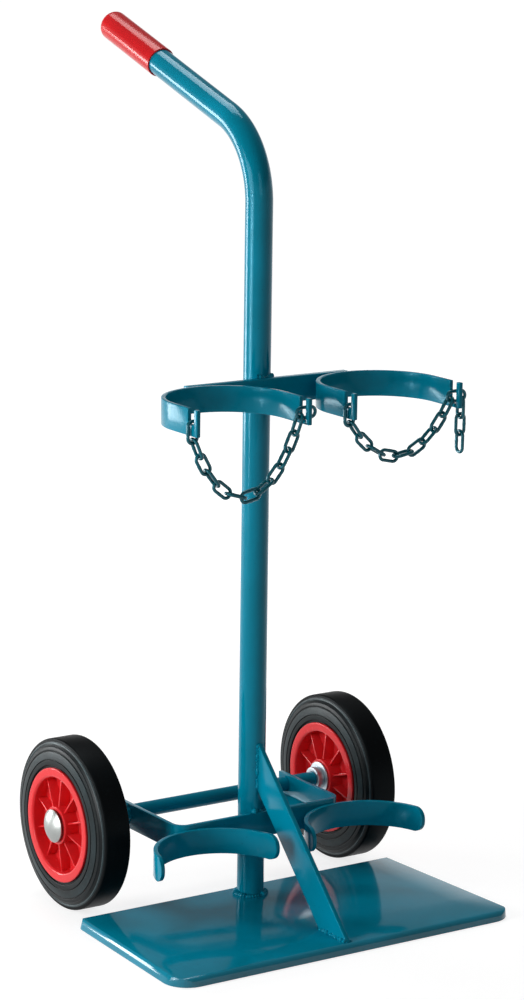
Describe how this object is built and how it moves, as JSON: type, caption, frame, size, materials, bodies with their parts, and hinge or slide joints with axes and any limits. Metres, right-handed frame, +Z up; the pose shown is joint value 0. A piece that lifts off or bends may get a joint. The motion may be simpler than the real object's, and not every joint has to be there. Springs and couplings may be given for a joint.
{
  "type": "gas cylinder trolley",
  "caption": "Upright two-wheel trolley with a bent tube column, sleeve grip, cradles and retaining chains for gas cylinders, and a pressed base plate.",
  "frame": {"origin": "floor point under the middle of the bounding box", "axes": "+Z up the column, front with the cradles faces -Y, +X to the right seen from the front"},
  "size_m": [0.4666, 0.5434, 1.025],
  "materials": {
    "teal_paint": "glossy enamel",
    "grip_red": "glossy",
    "axle_steel": "zinc plated",
    "tyre_black": "matt rubber",
    "rim_red": "satin",
    "bush_grey": "matt",
    "cap_bright": "polished",
    "chain_teal": "glossy enamel"
  },
  "bodies": {
    "trolley": {"base_plate": "teal_paint", "column_tube": "teal_paint", "handle_grip": "grip_red", "upper_crossbar": "teal_paint", "upper_cradle_left": "teal_paint", "upper_cradle_right": "teal_paint", "axle_frame": "teal_paint", "lower_cradle_left": "teal_paint", "lower_cradle_right": "teal_paint", "brace": "teal_paint", "axle": "teal_paint", "inner_collar_left": "axle_steel", "inner_collar_right": "axle_steel", "inner_washer_left": "axle_steel", "inner_washer_right": "axle_steel", "outer_washer_left": "axle_steel", "outer_washer_right": "axle_steel", "hub_cap_left": "cap_bright", "hub_cap_right": "cap_bright", "chain_left_end_link": "chain_teal", "chain_left_hook_link": "chain_teal", "chain_right_end_link": "chain_teal", "chain_right_hook_link": "chain_teal"},
    "wheel_left": {"tyre_left": "tyre_black", "rim_left": "rim_red", "bush_left": "bush_grey"},
    "chain_left": {"chain_left_loop": "chain_teal"},
    "wheel_right": {"tyre_right": "tyre_black", "rim_right": "rim_red", "bush_right": "bush_grey"},
    "chain_right": {"chain_right_loop": "chain_teal"},
    "tail_right": {"chain_right_tail": "chain_teal"}
  },
  "joints": [
    {"name": "wheel_left_spin", "type": "hinge", "parent": "trolley", "child": "wheel_left", "pos_m": [-0.187, 0.03427, 0.1025], "axis": [1, 0, 0], "continuous": true},
    {"name": "chain_left_swing", "type": "hinge", "parent": "trolley", "child": "chain_left", "pos_m": [-0.17417, -0.20062, 0.59429], "axis": [0.9942, 0, 0.1076], "range_deg": [-40, 40]},
    {"name": "wheel_right_spin", "type": "hinge", "parent": "trolley", "child": "wheel_right", "pos_m": [0.187, 0.03427, 0.1025], "axis": [1, 0, 0], "continuous": true},
    {"name": "chain_right_swing", "type": "hinge", "parent": "trolley", "child": "chain_right", "pos_m": [0.03399, -0.20062, 0.59496], "axis": [0.9942, 0, 0.1077], "range_deg": [-40, 40]},
    {"name": "chain_right_tail_swing", "type": "hinge", "parent": "trolley", "child": "tail_right", "pos_m": [0.1854, -0.20062, 0.6088], "axis": [1, 0, 0], "range_deg": [-60, 60]}
  ]
}
